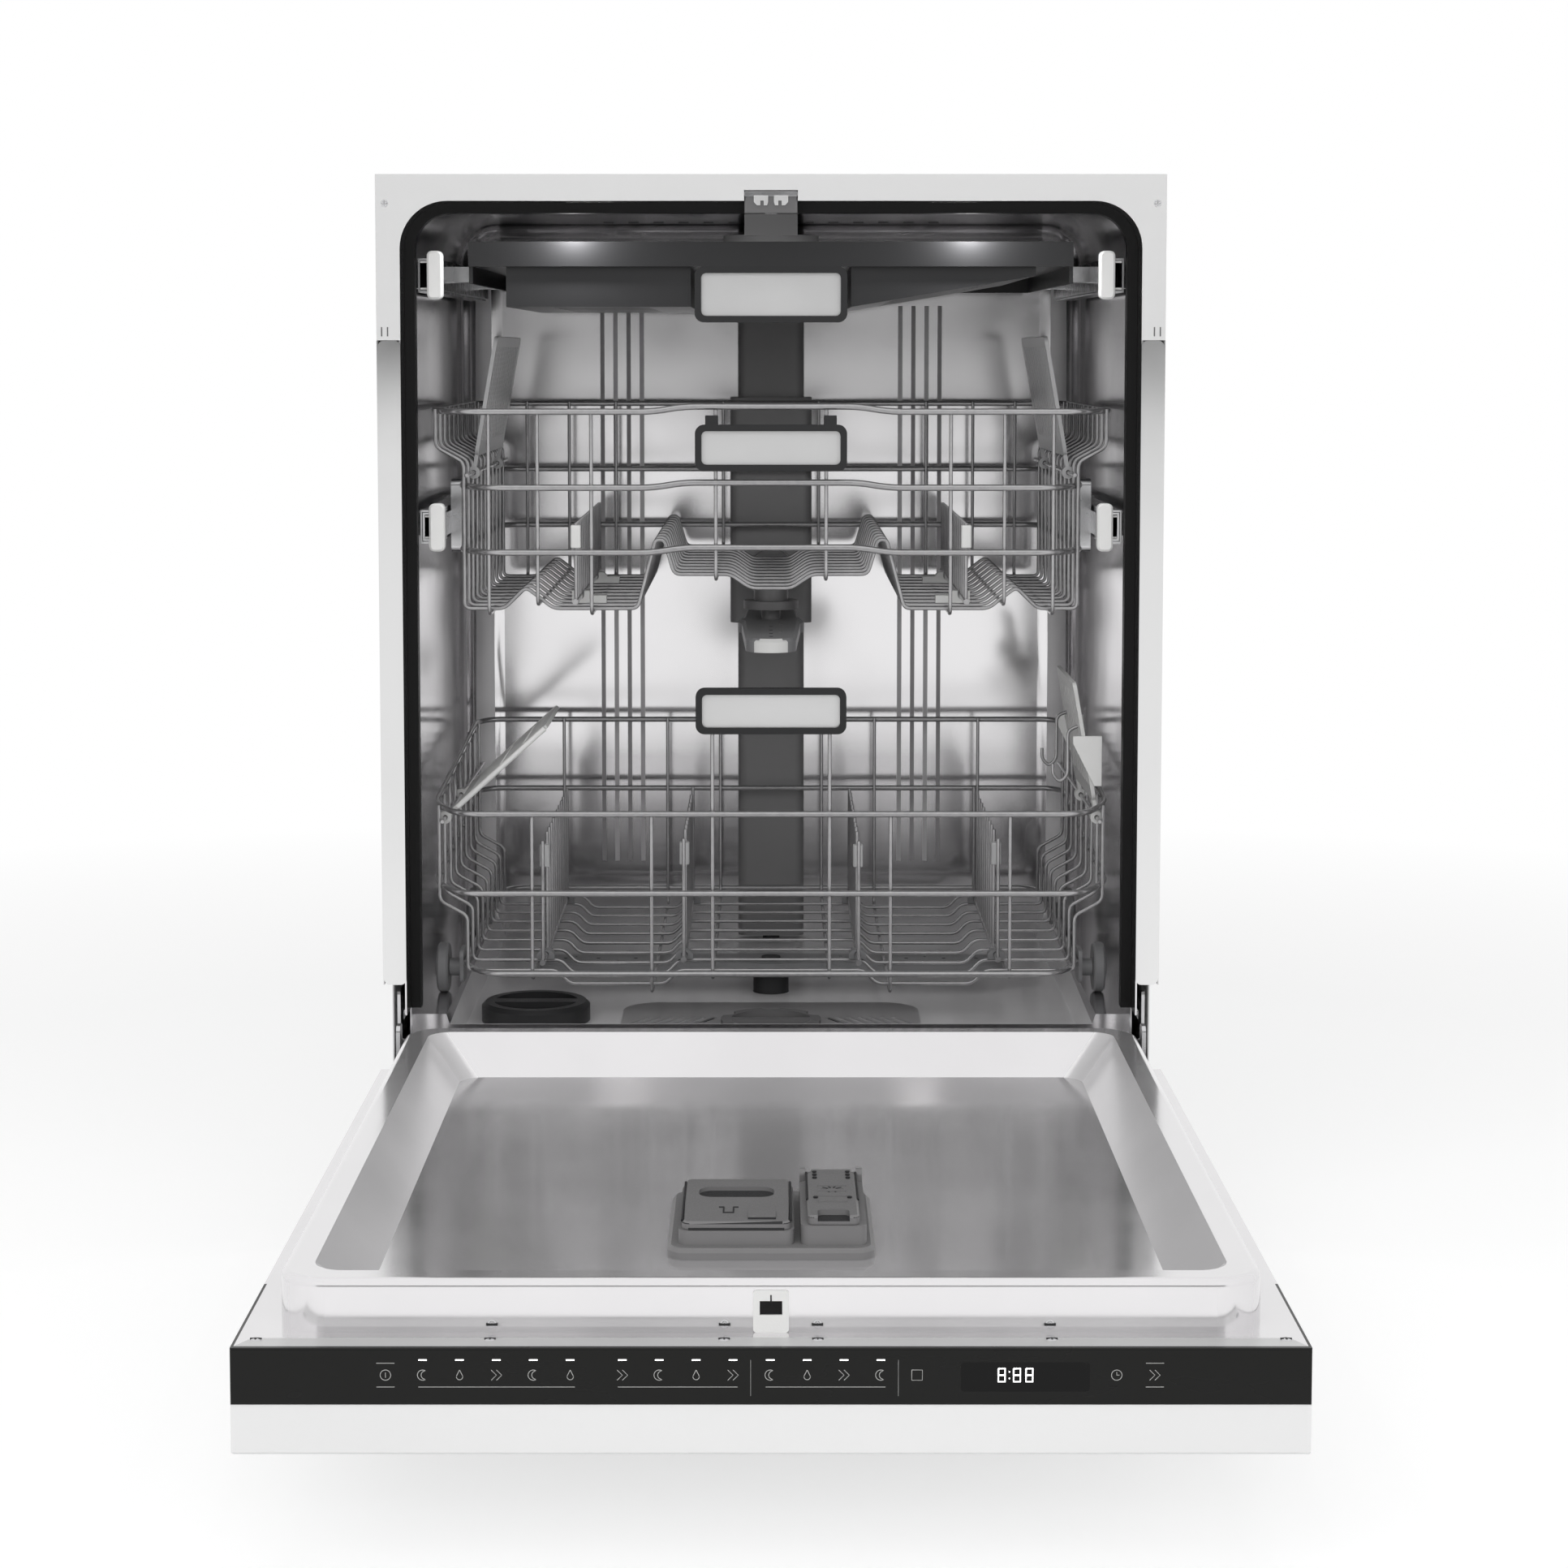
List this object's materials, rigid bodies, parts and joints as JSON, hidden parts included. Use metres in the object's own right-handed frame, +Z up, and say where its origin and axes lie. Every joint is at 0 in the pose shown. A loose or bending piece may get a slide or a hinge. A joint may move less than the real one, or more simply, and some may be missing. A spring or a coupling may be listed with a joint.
{
  "type": "built-in dishwasher",
  "caption": "Built-in dishwasher with drop-down door, wheeled lower wire rack, telescopic upper wire rack, cutlery tray, spray arms, detergent dispenser and fold-down tines.",
  "frame": {"origin": "on the floor under the middle of the cabinet's front plane", "axes": "+X right, +Y into the machine, +Z up"},
  "size_m": [0.598, 1.235, 0.82],
  "materials": {
    "white_paint": "satin",
    "stainless": "polished",
    "zinc_steel": "galvanised",
    "seal_rubber": "matt",
    "dark_plastic": "matt",
    "base_plastic": "matt",
    "pale_plastic": "matt",
    "grey_plastic": "matt",
    "nylon_wire": "nylon coated",
    "filter_steel": "perforated",
    "lamp_lens": "clear",
    "black_gloss": "gloss",
    "decor_white": "lacquered board"
  },
  "bodies": {
    "cabinet": {"base_tray": "base_plastic", "tub": "stainless", "tub_seal": "seal_rubber", "top_frame": "white_paint", "side_panel_left": "white_paint", "side_panel_right": "white_paint", "rear_panel": "white_paint", "top_cover": "white_paint", "latch_housing": "dark_plastic", "interior_lamps": "lamp_lens", "sump": "base_plastic", "circulation_pump": "base_plastic", "drain_pump": "base_plastic", "softener_tank": "pale_plastic", "inlet_valve": "pale_plastic", "flat_filter": "filter_steel", "feed_duct": "dark_plastic", "hinge_brackets": "zinc_steel", "door_springs": "zinc_steel", "rail_channels": "zinc_steel"},
    "feet": {"levelling_feet": "base_plastic"},
    "bolt": {"latch_bolt": "filter_steel"},
    "filter": {"filter_cylinder": "dark_plastic"},
    "salt_lid": {"salt_cap": "dark_plastic"},
    "lower_arm": {"lower_spray_arm": "grey_plastic"},
    "door": {"door_shell_panel": "zinc_steel", "door_inner_liner": "stainless", "latch_plate": "stainless", "control_panel": "black_gloss", "display_window": "black_gloss", "decor_panel": "decor_white", "hinge_arms": "zinc_steel", "dispenser_body": "grey_plastic"},
    "detergent_lid": {"dispenser_lid": "grey_plastic"},
    "rinse_flap": {"rinse_aid_flap": "grey_plastic"},
    "lower_rack": {"lower_basket": "nylon_wire", "lower_handle": "dark_plastic", "lower_clips": "pale_plastic"},
    "front_wheels": {"lower_front_wheels": "grey_plastic"},
    "rear_wheels": {"lower_rear_wheels": "grey_plastic"},
    "tines_1": {"lower_tine_row_1": "nylon_wire"},
    "tines_2": {"lower_tine_row_2": "nylon_wire"},
    "tines_3": {"lower_tine_row_3": "nylon_wire"},
    "tines_4": {"lower_tine_row_4": "nylon_wire"},
    "shelf_left": {"lower_shelf_left": "pale_plastic"},
    "shelf_right": {"lower_shelf_right": "pale_plastic"},
    "upper_rack": {"upper_basket": "nylon_wire", "upper_handle": "dark_plastic", "upper_clips": "pale_plastic", "upper_feed_pipe": "grey_plastic", "upper_slides": "zinc_steel"},
    "mid_rails": {"upper_mid_rails": "zinc_steel"},
    "upper_arm": {"upper_spray_arm": "grey_plastic"},
    "comb_left": {"upper_comb_left": "nylon_wire"},
    "comb_right": {"upper_comb_right": "nylon_wire"},
    "cups_left": {"cup_shelf_left": "pale_plastic"},
    "cups_right": {"cup_shelf_right": "pale_plastic"},
    "tray": {"cutlery_tray": "dark_plastic", "tray_handle": "dark_plastic", "tray_slides": "zinc_steel"}
  },
  "joints": [
    {"name": "feet_level", "type": "slide", "parent": "cabinet", "child": "feet", "axis": [0, 0, -1], "range_m": [0, 0.03]},
    {"name": "bolt_slide", "type": "slide", "parent": "cabinet", "child": "bolt", "axis": [0, 0, -1], "range_m": [0, 0.006], "stiffness_N_per_m": 100},
    {"name": "filter_twist", "type": "hinge", "parent": "cabinet", "child": "filter", "pos_m": [0, 0.085, 0.15], "axis": [0, 0, 1], "range_deg": [0, 80]},
    {"name": "salt_twist", "type": "hinge", "parent": "cabinet", "child": "salt_lid", "pos_m": [-0.191, 0.13, 0.15], "axis": [0, 0, 1], "range_deg": [0, 270]},
    {"name": "lower_arm_spin", "type": "hinge", "parent": "cabinet", "child": "lower_arm", "pos_m": [0, 0.245, 0.168], "axis": [0, 0, 1], "continuous": true},
    {"name": "door_hinge", "type": "hinge", "parent": "cabinet", "child": "door", "pos_m": [0, -0.012, 0.129], "axis": [-1, 0, 0], "range_deg": [0, 90], "deforming": ["door_springs"]},
    {"name": "detergent_lid_slide", "type": "slide", "parent": "door", "child": "detergent_lid", "axis": [0, 1, 0], "range_m": [0, 0.055]},
    {"name": "rinse_flap_hinge", "type": "hinge", "parent": "door", "child": "rinse_flap", "pos_m": [0.037, -0.419, 0.163], "axis": [1, 0, 0], "range_deg": [-95, 0]},
    {"name": "lower_rack_slide", "type": "slide", "parent": "cabinet", "child": "lower_rack", "axis": [0, 1, 0], "range_m": [-0.42, 0]},
    {"name": "front_wheel_roll", "type": "hinge", "parent": "lower_rack", "child": "front_wheels", "pos_m": [0, 0.121, 0.1903], "axis": [1, 0, 0], "continuous": true},
    {"name": "rear_wheel_roll", "type": "hinge", "parent": "lower_rack", "child": "rear_wheels", "pos_m": [0, 0.379, 0.1903], "axis": [1, 0, 0], "continuous": true},
    {"name": "tines_1_fold", "type": "hinge", "parent": "lower_rack", "child": "tines_1", "pos_m": [-0.182, 0.25, 0.2011], "axis": [0, 1, 0], "range_deg": [0, 88]},
    {"name": "tines_2_fold", "type": "hinge", "parent": "lower_rack", "child": "tines_2", "pos_m": [-0.07, 0.25, 0.2011], "axis": [0, 1, 0], "range_deg": [0, 88]},
    {"name": "tines_3_fold", "type": "hinge", "parent": "lower_rack", "child": "tines_3", "pos_m": [0.07, 0.25, 0.2011], "axis": [0, -1, 0], "range_deg": [0, 88]},
    {"name": "tines_4_fold", "type": "hinge", "parent": "lower_rack", "child": "tines_4", "pos_m": [0.182, 0.25, 0.2011], "axis": [0, -1, 0], "range_deg": [0, 88]},
    {"name": "shelf_left_fold", "type": "hinge", "parent": "lower_rack", "child": "shelf_left", "pos_m": [-0.26, 0.16, 0.316], "axis": [0, -1, 0], "range_deg": [-42, 38]},
    {"name": "shelf_right_fold", "type": "hinge", "parent": "lower_rack", "child": "shelf_right", "pos_m": [0.26, 0.16, 0.316], "axis": [0, 1, 0], "range_deg": [-80, 0]},
    {"name": "upper_rack_slide", "type": "slide", "parent": "cabinet", "child": "upper_rack", "axis": [0, 1, 0], "range_m": [-0.42, 0]},
    {"name": "mid_rail_slide", "type": "slide", "parent": "cabinet", "child": "mid_rails", "axis": [0, 1, 0], "range_m": [-0.21, 0]},
    {"name": "upper_arm_spin", "type": "hinge", "parent": "upper_rack", "child": "upper_arm", "pos_m": [0, 0.262, 0.455], "axis": [0, 0, 1], "continuous": true},
    {"name": "comb_left_fold", "type": "hinge", "parent": "upper_rack", "child": "comb_left", "pos_m": [-0.154, 0.25, 0.4901], "axis": [0, -1, 0], "range_deg": [0, 75]},
    {"name": "comb_right_fold", "type": "hinge", "parent": "upper_rack", "child": "comb_right", "pos_m": [0.154, 0.25, 0.4901], "axis": [0, 1, 0], "range_deg": [0, 75]},
    {"name": "cups_left_fold", "type": "hinge", "parent": "upper_rack", "child": "cups_left", "pos_m": [-0.238, 0.25, 0.59], "axis": [0, -1, 0], "range_deg": [-80, 0]},
    {"name": "cups_right_fold", "type": "hinge", "parent": "upper_rack", "child": "cups_right", "pos_m": [0.238, 0.25, 0.59], "axis": [0, 1, 0], "range_deg": [-80, 0]},
    {"name": "tray_slide", "type": "slide", "parent": "cabinet", "child": "tray", "axis": [0, 1, 0], "range_m": [-0.3, 0]}
  ],
  "couplings": [
    {"joint": "front_wheel_roll", "follows": "lower_rack_slide", "rad_per_m": -50},
    {"joint": "rear_wheel_roll", "follows": "lower_rack_slide", "rad_per_m": -50},
    {"joint": "mid_rail_slide", "follows": "upper_rack_slide", "ratio": 0.5}
  ]
}
